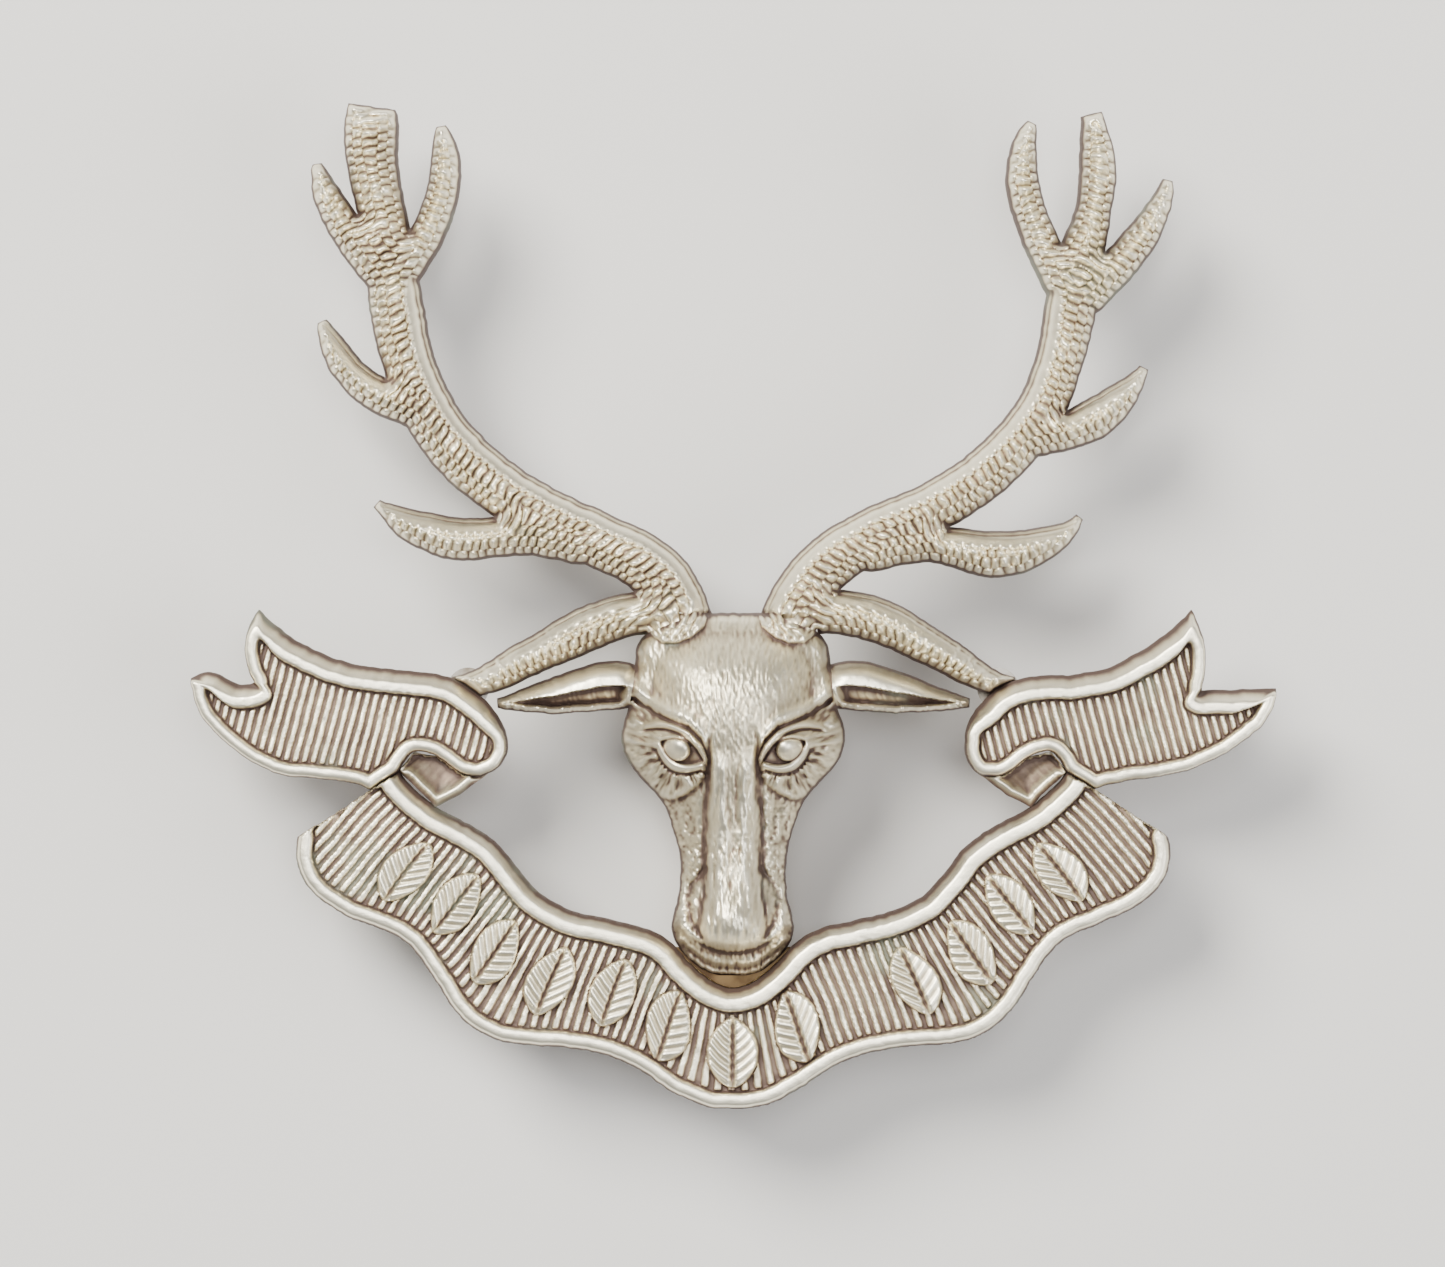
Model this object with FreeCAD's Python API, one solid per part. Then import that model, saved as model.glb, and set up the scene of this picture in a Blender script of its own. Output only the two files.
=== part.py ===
import FreeCAD, Part
import math
import os
from FreeCAD import Vector

# A stag's-head cap badge: a struck head with two antlers, soldered to a struck swallow-tailed scroll. It is
# held on the cap by two wire lugs, a backing plate and a split pin.
#
# Millimetres. The badge lies face up: +Z is the way the face looks, +Y runs up the badge to the antler tips
# and +X is to the right of someone looking at the face. The origin is under the middle of the badge, on the
# surface that the lugs stand on. "Left" and "right" are the left and right of someone looking at the face.

# ---------------------------------------------------------------- driving dimensions
BADGE_HALF_WIDTH = 33.9      # scroll tail tip from the centre line
BADGE_HALF_HEIGHT = 31.4     # scroll belly from the middle; the crown tips are as far the other way
BACK = 7.0                   # flat back rim over the surface that the lugs stand on
SHEET = 0.9                  # thickness of the struck metal
UP = Vector(0, 0, 1)

# head and antlers
LIMB_FOOT = 0.7              # straight side wall of a limb, under its rounded crest
CREST_TO_WIDTH = 1.25        # height of that crest over the limb's half width
EAR_CREST = 2.6
EYE_RADIUS = 0.85
EYE = Vector(3.75, -9.15, BACK + 5.0)

# scroll
SCROLL_RIM = 2.5             # front of the raised border over the back rim
SCROLL_GROUND = 2.0          # front of the sunk ground over the back rim
BORDER = 0.62                # width of the raised border
FOLD_FRONT = 1.7             # front of the plain turned-over loop over the back rim
CORNER_STEP = 0.85           # between the corners that stand for a tail's smooth edge, inside the border

# lugs: staples of round wire, seen from above as a short bar
LUG_WIRE = 1.2
LUG_SPREAD = 3.1             # leg to leg, centre to centre
LUG_BEND = 0.9               # centre-line radius of the two corners
UPPER_LUG_Y = -7.4
LOWER_LUG_Y = -27.6
LOWER_LUG_TOP = BACK + SCROLL_GROUND - SHEET
SOLDER_DEPTH = 0.5
FIT = 0.2                    # clearance round everything that slides

# split pin: half-round wire folded on itself
PIN_RADIUS = 0.75
PIN_SLIT = 0.1
PIN_EYE_BORE = 1.0           # radius
PIN_EYE_Y = -3.3
PIN_TIP_Y = -30.2
PIN_SHORT_LEG = 1.6          # how much shorter the left leg is
PIN_Z = LUG_WIRE + FIT + PIN_RADIUS

# backing plate
PLATE_WIDTH = 6.2
PLATE_SHEET = 0.6
PLATE_OVERHANG = 2.6         # from a lug to the plate's nearer end
PLATE_Z = PIN_Z + PIN_RADIUS + FIT

# ---------------------------------------------------------------- shape of the struck metal
# A limb is a run of stations along its centre line: x, y, half width.
LEFT_ANTLER = {
    "beam": [(-2.4, -2.3, 1.9), (-3.2, -0.6, 1.9), (-4.9, 2.2, 1.85), (-8.4, 4.2, 1.75), (-11.7, 5.7, 1.75),
             (-14.6, 7.5, 1.75), (-17.1, 9.6, 1.75), (-19.0, 12.2, 1.7), (-20.2, 15.0, 1.65),
             (-20.9, 17.8, 1.7), (-21.3, 20.7, 1.65), (-21.9, 24.4, 1.5), (-22.6, 28.2, 1.65),
             (-22.6, 31.3, 1.5)],
    "crown_outer": [(-21.3, 20.0, 1.1), (-22.8, 21.7, 1.15), (-24.3, 23.8, 1.1), (-25.4, 25.8, 0.9),
                    (-26.0, 27.7, 0.3)],
    "crown_inner": [(-20.7, 20.7, 1.1), (-19.3, 23.0, 1.1), (-18.3, 25.3, 1.05), (-18.0, 27.8, 0.95),
                    (-18.3, 30.1, 0.3)],
    "trez": [(-19.4, 11.9, 1.0), (-22.2, 13.3, 1.15), (-23.8, 14.5, 1.05), (-24.9, 16.1, 0.85),
             (-25.7, 17.9, 0.3)],
    "bez": [(-8.2, 3.9, 1.05), (-11.7, 4.2, 1.15), (-14.2, 4.4, 1.25), (-16.7, 4.2, 1.35), (-18.9, 4.6, 1.25),
            (-20.9, 5.5, 0.85), (-22.3, 6.5, 0.3)],
    "brow": [(-4.8, -0.5, 1.3), (-7.0, -0.6, 1.4), (-9.4, -1.5, 1.4), (-11.7, -2.65, 1.25),
             (-13.9, -3.8, 1.08), (-15.8, -4.7, 0.85), (-17.6, -5.0, 0.6)],
}
RIGHT_ANTLER = {
    "beam": [(2.8, -2.3, 1.8), (3.6, -0.6, 1.8), (5.3, 2.1, 1.75), (7.5, 3.8, 1.75), (10.2, 5.2, 1.65),
             (12.8, 6.4, 1.6), (15.3, 8.0, 1.6), (17.5, 10.0, 1.6), (19.2, 12.3, 1.55), (20.3, 15.0, 1.5),
             (21.0, 17.8, 1.6), (21.5, 20.8, 1.6), (22.3, 23.8, 1.25), (22.8, 26.9, 1.15),
             (22.7, 29.1, 1.0), (22.4, 30.8, 0.65)],
    "crown_inner": [(20.8, 19.7, 1.1), (19.7, 21.9, 1.1), (18.8, 24.0, 1.1), (18.2, 26.0, 1.05),
                    (18.1, 28.2, 0.9), (18.7, 30.3, 0.3)],
    "crown_outer": [(22.0, 19.1, 1.1), (23.6, 20.8, 1.15), (25.2, 22.7, 1.1), (26.4, 24.5, 0.85),
                    (27.2, 26.7, 0.3)],
    "trez": [(18.2, 10.3, 1.05), (21.0, 11.0, 1.2), (22.8, 11.9, 1.3), (24.3, 13.1, 1.0), (25.7, 15.0, 0.3)],
    "bez": [(7.6, 3.4, 1.05), (10.5, 3.6, 1.05), (13.3, 3.8, 1.2), (15.8, 3.3, 1.45), (18.0, 3.5, 1.35),
            (20.0, 4.2, 0.95), (21.7, 5.6, 0.3)],
    "brow": [(5.0, -0.5, 1.3), (7.3, -0.4, 1.4), (9.5, -1.05, 1.4), (11.8, -2.2, 1.25), (13.9, -3.4, 1.08),
             (15.8, -4.5, 0.85), (17.6, -4.95, 0.6)],
}

# The head is a run of cross-sections down the face: y, half width, height over the back rim.
HEAD = [(-0.35, 3.4, 2.6), (-1.5, 5.1, 4.6), (-3.4, 6.1, 5.6), (-5.9, 6.4, 6.1), (-8.0, 7.0, 6.2),
        (-9.8, 6.5, 6.4), (-11.6, 4.9, 6.5), (-13.5, 3.9, 6.6), (-16.2, 3.3, 6.8), (-18.2, 3.45, 6.9),
        (-20.3, 3.8, 6.7), (-21.7, 3.1, 5.7), (-22.5, 2.2, 4.3), (-23.05, 0.9, 2.6)]
# One side of a cross-section, from the back rim to the crest, as fractions of its half width and height.
HEAD_PROFILE = [(1.0, 0.0), (0.92, 0.38), (0.62, 0.72), (0.3, 0.93), (0.0, 1.0)]
RIGHT_EAR = [(6.0, -5.0, 1.3), (8.3, -5.0, 1.55), (10.6, -5.45, 1.25), (12.8, -5.8, 0.8), (14.8, -6.0, 0.3)]

# The band's right half, as pairs of inner and outer edge points from the turned-over loop to the middle. Its
# left half is the mirror image.
BAND = [((20.9, -10.3), (27.2, -14.4)), ((18.6, -12.5), (27.0, -16.8)), ((16.1, -13.9), (24.2, -19.3)),
        ((14.3, -15.3), (20.3, -21.1)), ((13.0, -17.0), (18.2, -24.1)), ((10.9, -18.7), (15.4, -26.8)),
        ((8.1, -19.5), (11.0, -27.5)), ((4.2, -20.8), (6.9, -28.4)), ((1.8, -23.1), (3.3, -30.6)),
        ((0.0, -23.8), (0.0, -BADGE_HALF_HEIGHT))]

# A tail's outline is four smooth runs: the rolled end where the ribbon turns over, together with the upper
# edge after it; the two points of the swallow tail; and its lower edge.
LEFT_TAIL = [
    [(-22.6, -11.4), (-20.9, -10.3), (-19.9, -9.1), (-18.4, -9.4), (-17.0, -10.4), (-15.3, -10.4),
     (-14.1, -8.9), (-14.9, -6.6), (-17.3, -4.6), (-22.4, -3.8), (-26.4, -2.6), (-29.6, -0.2)],
    [(-29.6, -0.2), (-30.5, -2.4), (-29.9, -4.7)],
    [(-29.9, -4.7), (-31.3, -4.7), (-32.4, -4.2), (-BADGE_HALF_WIDTH, -4.5)],
    [(-BADGE_HALF_WIDTH, -4.5), (-33.2, -6.8), (-31.1, -9.0), (-28.1, -10.5), (-25.1, -10.8), (-22.6, -11.4)],
]
RIGHT_TAIL = [
    [(22.6, -11.4), (20.9, -10.3), (19.9, -9.1), (18.4, -9.4), (17.0, -10.4), (15.3, -10.4), (14.5, -8.9),
     (15.0, -6.7), (17.6, -4.6), (22.4, -4.1), (25.3, -2.9), (28.7, -0.2)],
    [(28.7, -0.2), (29.5, -2.8), (29.3, -5.2)],
    [(29.3, -5.2), (31.7, -5.2), (BADGE_HALF_WIDTH, -5.1)],
    [(BADGE_HALF_WIDTH, -5.1), (33.2, -7.2), (31.3, -8.8), (28.1, -10.3), (24.6, -10.9), (22.6, -11.4)],
]
FOLD = [(15.3, -10.4), (17.0, -10.4), (18.4, -9.4), (19.9, -9.1), (20.9, -10.3), (18.6, -12.5), (17.1, -11.8)]

# The seam between muzzle and scroll, and the spot where a brow tine's end is soldered to the scroll.
MUZZLE_SEAM = [(-3.6, -21.3), (-1.8, -23.0), (0.0, -23.8), (1.8, -23.0), (3.6, -21.3)]
TINE_JOINT = (16.6, -5.1)


# ---------------------------------------------------------------- helpers
def mirrored(points):
    """The same run of points or stations on the badge's other side."""
    return [(-p[0], *p[1:]) for p in points]


def flat(points, z=BACK):
    return [Vector(p[0], p[1], z) for p in points]


def spline(points):
    curve = Part.BSplineCurve()
    curve.interpolate(points)
    return curve.toShape()


def prism(edges, height):
    """The solid standing over a closed run of edges."""
    return Part.Face(Part.Wire(edges)).extrude(UP * height)


def polygon_prism(points, height):
    return prism(Part.makePolygon(flat(points) + flat(points[:1])).Edges, height)


def minus(shape, *others):
    """shape without the others, as its largest solid."""
    for other in others:
        shape = shape.cut(other)
    return max(shape.Solids, key=lambda s: s.Volume)


def joined(*shapes):
    first, *rest = shapes
    return first.fuse(rest).removeSplitter().Solids[0]


# ---------------------------------------------------------------- head striking
def d_section(centre, across, half_width, crest, foot):
    """A closed D on the back rim: a flat base, two straight sides and a rounded crest."""
    left, right = centre - across * half_width, centre + across * half_width
    left_top, right_top = left + UP * foot, right + UP * foot
    arc = Part.Arc(right_top, centre + UP * crest, left_top).toShape()
    sides = [Part.makeLine(left, right), Part.makeLine(right, right_top), arc, Part.makeLine(left_top, left)]
    return Part.Wire(sides)


def limb(stations, inset=0.0, crest_to_width=CREST_TO_WIDTH):
    """A limb along its stations, or the hollow that lies inset inside it."""
    centres = flat(stations)
    path = Part.BSplineCurve()
    path.interpolate(centres)
    wires = []
    for centre, (_, _, half_width) in zip(centres, stations):
        along = Vector(*path.tangent(path.parameter(centre))[0])
        across = Vector(along.y, -along.x, 0).normalize()
        crest = LIMB_FOOT + crest_to_width * half_width - inset
        wires.append(d_section(centre, across, half_width - inset, crest, LIMB_FOOT - inset / 2))
    return Part.makeLoft(wires, True, False)


def antler(limbs, body):
    """An antler: limbs struck in one piece with a hollow-backed beam, up against the head and the scroll."""
    beam = limbs["beam"]
    outside = joined(*[limb(stations) for stations in limbs.values()])
    return minus(outside, limb(beam[2:-3], inset=SHEET), *body)


def head_section(y, half_width, height, inset=0.0):
    right = [Vector((half_width - inset) * u, y, BACK + (height - inset) * v) for u, v in HEAD_PROFILE]
    points = right + [Vector(-p.x, p.y, p.z) for p in right[-2::-1]]
    return Part.Wire([spline(points), Part.makeLine(points[-1], points[0])])


def solid_head():
    return Part.makeLoft([head_section(*s) for s in HEAD], True, False)


def head_hollow():
    return Part.makeLoft([head_section(*s, inset=SHEET) for s in HEAD[1:-1]], True, False)


def stag_head():
    """The mask of the face, hollow behind, with its two eyeballs."""
    eyes = [Part.makeSphere(EYE_RADIUS, Vector(side * EYE.x, EYE.y, EYE.z)) for side in (-1, 1)]
    return minus(joined(solid_head(), *eyes), head_hollow())


# ---------------------------------------------------------------- scroll striking
def band_edges(pairs, inset, z):
    """Inner and outer edge points of the band's right half, moved inset towards each other."""
    inner, outer = [], []
    for a, b in pairs:
        a, b = Vector(*a, z), Vector(*b, z)
        step = (b - a).normalize() * inset
        inner.append(a + step)
        outer.append(b - step)
    return inner, outer


def band_outline(inner, outer):
    return [spline(inner), Part.makeLine(inner[-1], outer[-1]), spline(outer[::-1]),
            Part.makeLine(outer[0], inner[0])]


def whole_band(pairs, inset, z, height):
    """The band from loop to loop."""
    halves = band_edges(pairs, inset, z)
    inner, outer = ([Vector(-p.x, p.y, z) for p in half[:-1]] + half[::-1] for half in halves)
    return prism(band_outline(inner, outer), height)


def mirror(shape):
    return shape.mirror(Vector(0, 0, 0), Vector(1, 0, 0))


def scroll_band():
    plate = whole_band(BAND, 0.0, BACK, SCROLL_RIM)
    ground = whole_band(BAND[1:], BORDER, BACK + SCROLL_GROUND, SCROLL_RIM)
    pocket = whole_band(BAND[1:], SHEET, BACK, SCROLL_GROUND - SHEET)
    return minus(plate, ground, pocket)


def tail_plate(tail):
    """The full thickness of a tail."""
    return Part.Face(Part.Wire([spline(flat(run)) for run in tail])).extrude(UP * SCROLL_RIM)


def tail_inset(tail, inset):
    """The flat face that lies inset inside a tail's outline."""
    points = []
    for run in tail:
        points += spline(flat(run)).discretize(Distance=CORNER_STEP)[:-1]
    return Part.Face(Part.makePolygon(points + points[:1])).makeOffset2D(-inset, 2)


def scroll_tail(tail):
    """One swallow-tailed end of the ribbon, with a sunk ground and a hollow back."""
    ground = tail_inset(tail, BORDER)
    ground.translate(UP * SCROLL_GROUND)
    pocket = tail_inset(tail, SHEET)
    cut_behind = pocket.extrude(UP * (SCROLL_GROUND - SHEET))
    return minus(tail_plate(tail), ground.extrude(UP * SCROLL_RIM), cut_behind)


# ---------------------------------------------------------------- fittings behind
def lug(y, top):
    """A staple of round wire, open upwards, whose legs run up to z = top."""
    half, low = LUG_SPREAD / 2, LUG_WIRE / 2
    bend_mid = LUG_BEND * (1 - math.sqrt(0.5))
    left = [Vector(-half, y, low + LUG_BEND), Vector(-half + bend_mid, y, low + bend_mid),
            Vector(-half + LUG_BEND, y, low)]
    right = [Vector(-p.x, p.y, p.z) for p in left[::-1]]
    path = Part.Wire([Part.makeLine(Vector(-half, y, top), left[0]), Part.Arc(*left).toShape(),
                      Part.makeLine(left[-1], right[0]), Part.Arc(*right).toShape(),
                      Part.makeLine(right[-1], Vector(half, y, top))])
    ring = Part.Wire(Part.makeCircle(LUG_WIRE / 2, Vector(-half, y, top), UP))
    return path.makePipeShell([ring], True, False)


def upper_lug_solder(hollow, staple):
    """A blob round each leg where it meets the inside of the forehead."""
    blobs = []
    for side in (-1, 1):
        foot = Vector(side * LUG_SPREAD / 2, UPPER_LUG_Y, BACK + HEAD[3][2] - SHEET)
        blobs.append(minus(Part.makeSphere(1.5, foot).common(hollow), staple))
    return Part.makeCompound(blobs)


def lower_lug_solder(staple):
    """A low fillet round each leg where it meets the inside of the scroll's hollow back."""
    fillets = []
    for side in (-1, 1):
        foot = Vector(side * LUG_SPREAD / 2, LOWER_LUG_Y, LOWER_LUG_TOP - SOLDER_DEPTH)
        cone = Part.makeCone(LUG_WIRE / 2 + 0.1, LUG_WIRE / 2 + 0.6, SOLDER_DEPTH, foot, UP)
        fillets.append(minus(cone, staple))
    return Part.makeCompound(fillets)


def tine_solder(side):
    """A flat blob behind the end of a brow tine, across its joint with the scroll."""
    x, y = TINE_JOINT
    return Part.makeCone(0.9, 1.3, SOLDER_DEPTH, Vector(side * x, y, BACK - SOLDER_DEPTH), UP)


def split_pin():
    """An eye of half-round wire and two legs, flat face to flat face, the left one shorter."""
    eye, tip = Vector(0, PIN_EYE_Y, PIN_Z), Vector(0, PIN_TIP_Y, PIN_Z)
    reach = PIN_EYE_Y - PIN_TIP_Y
    legs = Part.makeCylinder(PIN_RADIUS, reach, tip, Vector(0, 1, 0))
    low, high = Vector(PIN_EYE_BORE, 0, -PIN_RADIUS), Vector(PIN_EYE_BORE, 0, PIN_RADIUS)
    outermost = Vector(PIN_EYE_BORE + PIN_RADIUS, 0, 0)
    half_round = Part.Face(Part.Wire([Part.Arc(low, outermost, high).toShape(), Part.makeLine(high, low)]))
    half_round.translate(eye)
    loop = half_round.revolve(eye, UP, 360)
    tall = 4 * PIN_RADIUS
    bore = Part.makeCylinder(PIN_EYE_BORE, tall, eye - UP * tall / 2)
    slit = Part.makeBox(PIN_SLIT, reach, tall, tip - Vector(PIN_SLIT / 2, 0, tall / 2))
    cut_short = Part.makeBox(PIN_RADIUS, PIN_SHORT_LEG, tall, tip - Vector(PIN_RADIUS, 0, tall / 2))
    return minus(loop.fuse(legs), bore, slit, cut_short)


def slot(length, width, middle, height):
    """A round-ended slot or plate along X, as the solid that fills it."""
    radius, half = width / 2, (length - width) / 2
    ends = [Part.makeCylinder(radius, height, middle + Vector(side * half, 0, 0)) for side in (-1, 1)]
    return joined(Part.makeBox(2 * half, width, height, middle - Vector(half, radius, 0)), *ends)


def backing_plate():
    low = LOWER_LUG_Y - PLATE_OVERHANG
    length = UPPER_LUG_Y + PLATE_OVERHANG - low
    plate = Part.makeBox(PLATE_WIDTH, length, PLATE_SHEET, Vector(-PLATE_WIDTH / 2, low, PLATE_Z))
    corners = [e for e in plate.Edges if abs(e.tangentAt(e.FirstParameter).z) > 0.5]
    plate = plate.makeFillet(1.5, corners)
    width = LUG_WIRE + 2 * FIT
    for y in (UPPER_LUG_Y, LOWER_LUG_Y):
        plate = minus(plate, slot(LUG_SPREAD + width, width, Vector(0, y, PLATE_Z), PLATE_SHEET))
    return plate


# ---------------------------------------------------------------- the badge
def badge():
    head, hollow = solid_head(), head_hollow()
    band, fold = scroll_band(), polygon_prism(FOLD, FOLD_FRONT)
    parts = {"stag_head": stag_head(), "scroll_band": band}
    for side, limbs, tail, ear in (("left", LEFT_ANTLER, LEFT_TAIL, mirrored(RIGHT_EAR)),
                                   ("right", RIGHT_ANTLER, RIGHT_TAIL, RIGHT_EAR)):
        plate = tail_plate(tail)
        parts[f"{side}_antler"] = antler(limbs, [head, plate])
        ear_blank = limb(ear, crest_to_width=EAR_CREST / ear[1][2])
        parts[f"{side}_ear"] = minus(ear_blank, head, limb(limbs["brow"]))
        parts[f"{side}_scroll_tail"] = minus(scroll_tail(tail), band)
        parts[f"{side}_scroll_fold"] = minus(fold if side == "right" else mirror(fold), band, plate)
        parts[f"{side}_tine_solder"] = tine_solder(1 if side == "right" else -1)
    parts["upper_lug"] = minus(lug(UPPER_LUG_Y, BACK + HEAD[3][2] - SHEET), parts["stag_head"])
    parts["lower_lug"] = lug(LOWER_LUG_Y, LOWER_LUG_TOP)
    parts["upper_lug_solder"] = upper_lug_solder(hollow, parts["upper_lug"])
    parts["lower_lug_solder"] = lower_lug_solder(parts["lower_lug"])
    seam = prism([spline(flat(MUZZLE_SEAM)), Part.makeLine(*flat([MUZZLE_SEAM[-1], MUZZLE_SEAM[0]]))], SHEET)
    parts["muzzle_solder"] = minus(seam, head, band)
    parts["split_pin"] = split_pin()
    parts["backing_plate"] = backing_plate()
    return parts


os.makedirs("parts", exist_ok=True)
for name, shape in badge().items():
    shape.exportStep(f"parts/{name}.step")
    print(f"{name:20s} solids {len(shape.Solids)}  valid {shape.isValid()}  volume {shape.Volume:8.2f} mm3")
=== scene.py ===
import math

import bpy
import numpy as np
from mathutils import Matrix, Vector
from mathutils.geometry import delaunay_2d_cdt
from mathutils.kdtree import KDTree


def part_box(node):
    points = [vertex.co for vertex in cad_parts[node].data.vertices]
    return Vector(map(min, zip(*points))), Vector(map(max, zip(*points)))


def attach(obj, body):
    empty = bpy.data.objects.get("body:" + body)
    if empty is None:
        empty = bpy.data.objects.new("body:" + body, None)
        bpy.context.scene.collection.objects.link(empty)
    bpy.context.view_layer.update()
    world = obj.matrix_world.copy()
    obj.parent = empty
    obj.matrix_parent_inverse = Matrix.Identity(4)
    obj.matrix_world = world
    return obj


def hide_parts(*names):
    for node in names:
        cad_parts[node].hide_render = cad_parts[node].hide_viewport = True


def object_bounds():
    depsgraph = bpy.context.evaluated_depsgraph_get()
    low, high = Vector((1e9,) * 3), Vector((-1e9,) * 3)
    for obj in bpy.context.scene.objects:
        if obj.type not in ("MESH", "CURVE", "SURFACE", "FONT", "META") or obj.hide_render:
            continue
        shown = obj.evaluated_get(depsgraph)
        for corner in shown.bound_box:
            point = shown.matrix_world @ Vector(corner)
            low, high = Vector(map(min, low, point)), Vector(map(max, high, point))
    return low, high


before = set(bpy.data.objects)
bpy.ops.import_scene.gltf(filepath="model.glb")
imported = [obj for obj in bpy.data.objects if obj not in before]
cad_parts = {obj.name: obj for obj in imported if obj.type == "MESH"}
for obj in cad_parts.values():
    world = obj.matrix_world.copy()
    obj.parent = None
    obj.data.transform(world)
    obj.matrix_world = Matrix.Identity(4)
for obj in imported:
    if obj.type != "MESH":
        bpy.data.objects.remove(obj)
PACKED_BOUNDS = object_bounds()

# The badge lies face up. Relief is worked out in millimetres over the flat back rim and turned into metres
# when a mesh is made. "Left" and "right" are those of someone looking at the face.
MM = 0.001
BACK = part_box("scroll_band")[0].z / MM
HEAD_LOW, HEAD_HIGH = (np.array(corner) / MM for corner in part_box("stag_head"))
HEAD_TOP = HEAD_HIGH[1]
FACE_AXIS = (HEAD_LOW[0] + HEAD_HIGH[0]) / 2
HEAD_STRIKING = ("stag_head", "left_ear", "right_ear", "left_antler", "right_antler")
SOLDER_SPOTS = ("left_tine_solder", "right_tine_solder")

GRID = 0.15          # spacing of the distance fields
MARGIN = 8           # grid cells kept round a piece
EDGE_STEP = 0.09     # spacing of mesh points along an outline
LOWEST = 0.35        # least height of the front over the back rim
SHEET = 0.7          # flat rim of struck metal seen from behind
METAL = 0.85         # between the front and the hollow behind it
BACK_STEP = 0.22     # spacing of mesh points behind
DEEP = 99.0          # cap on a hollow that may be as deep as the front allows


# ---------------------------------------------------------------- noise and small functions
def noise(x, y, seed=0):
    """Smooth value noise from 0 to 1, with features one unit across."""
    i, j = np.floor(x).astype(np.int64), np.floor(y).astype(np.int64)
    u, v = x - i, y - j
    u, v = u * u * (3 - 2 * u), v * v * (3 - 2 * v)

    def lattice(a, b):
        n = (a * 374761393 + b * 668265263 + seed * 69069) & 0x7FFFFFFF
        n = ((n ^ (n >> 13)) * 1274126177) & 0x7FFFFFFF
        return ((n ^ (n >> 16)) & 0xFFFF) / 65535.0

    low = lattice(i, j) * (1 - u) + lattice(i + 1, j) * u
    high = lattice(i, j + 1) * (1 - u) + lattice(i + 1, j + 1) * u
    return low * (1 - v) + high * v


def cloud(x, y, seed=0):
    """Three octaves of noise, from 0 to 1."""
    broad = noise(x, y, seed) * 4 + noise(2.1 * x, 2.1 * y, seed + 1) * 2
    return (broad + noise(4.3 * x, 4.3 * y, seed + 2)) / 7


def step(value, low, high):
    """0 below low, 1 above high, smooth between."""
    t = np.clip((value - low) / (high - low), 0, 1)
    return t * t * (3 - 2 * t)


def bump(value, middle, width):
    return np.exp(-((value - middle) / width) ** 2)


def smooth_max(a, b, blend):
    return 0.5 * (a + b + np.sqrt((a - b) ** 2 + blend ** 2))


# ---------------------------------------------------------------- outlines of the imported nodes
def node_geometry(node):
    """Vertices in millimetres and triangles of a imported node."""
    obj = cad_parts[node]
    mesh = obj.data
    mesh.calc_loop_triangles()
    corners = np.array([obj.matrix_world @ v.co for v in mesh.vertices]) / MM
    triangles = np.array([t.vertices[:] for t in mesh.loop_triangles])
    return corners, triangles


def loop_area(points):
    x, y = points[:, 0], points[:, 1]
    return 0.5 * np.sum(x * np.roll(y, -1) - y * np.roll(x, -1))


def outline(node):
    """The outer edge of a node's flat back, anticlockwise seen from the front."""
    corners, triangles = node_geometry(node)
    flat = triangles[(np.abs(corners[triangles][:, :, 2] - BACK) < 0.005).all(axis=1)]
    names = {}
    welded = [names.setdefault(tuple(np.round(c[:2], 3)), len(names)) for c in corners]
    spots = np.array(list(names))
    edges = {(welded[t[i]], welded[t[(i + 1) % 3]]) for t in flat for i in range(3)}
    following = {a: b for a, b in edges if (b, a) not in edges and a != b}
    loops = []
    while following:
        start, here = following.popitem()
        loop = [start]
        while here != start and here in following:
            loop.append(here)
            here = following.pop(here)
        loops.append(spots[loop])
    largest = max(loops, key=lambda points: abs(loop_area(points)))
    return largest if loop_area(largest) > 0 else largest[::-1]


def hand_cut(points):
    """Outline points moved a little, the way a pierced and filed edge wanders."""
    x, y = points[:, 0], points[:, 1]
    dx = cloud(x / 1.4, y / 1.4, 5) - 0.5 + 0.35 * (noise(x / 0.35, y / 0.35, 8) - 0.5)
    dy = cloud(x / 1.4, y / 1.4, 15) - 0.5 + 0.35 * (noise(x / 0.35, y / 0.35, 18) - 0.5)
    return points + 0.16 * np.stack([dx, dy], axis=1)


def divided(points, longest):
    """The same closed outline with no edge longer than that."""
    pieces = []
    for a, b in zip(points, np.roll(points, -1, axis=0)):
        count = max(1, math.ceil(np.linalg.norm(b - a) / longest))
        pieces.append(a + (b - a) * np.linspace(0, 1, count, endpoint=False)[:, None])
    return np.concatenate(pieces)


RELIEF_NODES = HEAD_STRIKING + ("scroll_band", "left_scroll_tail", "right_scroll_tail", "left_scroll_fold",
                                "right_scroll_fold")
OUTLINES = {node: hand_cut(divided(outline(node), EDGE_STEP)) for node in RELIEF_NODES}


def segments(points):
    return np.stack([points, np.roll(points, -1, axis=0)], axis=1)


def inside(points, loop):
    """Whether each point is inside a closed outline."""
    a, b = loop, np.roll(loop, -1, axis=0)
    result = np.zeros(len(points), dtype=bool)
    low, high = loop.min(axis=0), loop.max(axis=0)
    near = np.flatnonzero(((points >= low) & (points <= high)).all(axis=1))
    near = near[np.argsort(points[near, 1], kind="stable")]
    rows, starts = np.unique(points[near, 1], return_index=True)
    for y, row in zip(rows, np.split(near, starts[1:])):
        hit = (a[:, 1] > y) != (b[:, 1] > y)
        p, q = a[hit], b[hit]
        crossings = np.sort(p[:, 0] + (y - p[:, 1]) / (q[:, 1] - p[:, 1]) * (q[:, 0] - p[:, 0]))
        result[row] = np.searchsorted(crossings, points[row, 0]) % 2 == 1
    return result


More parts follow.
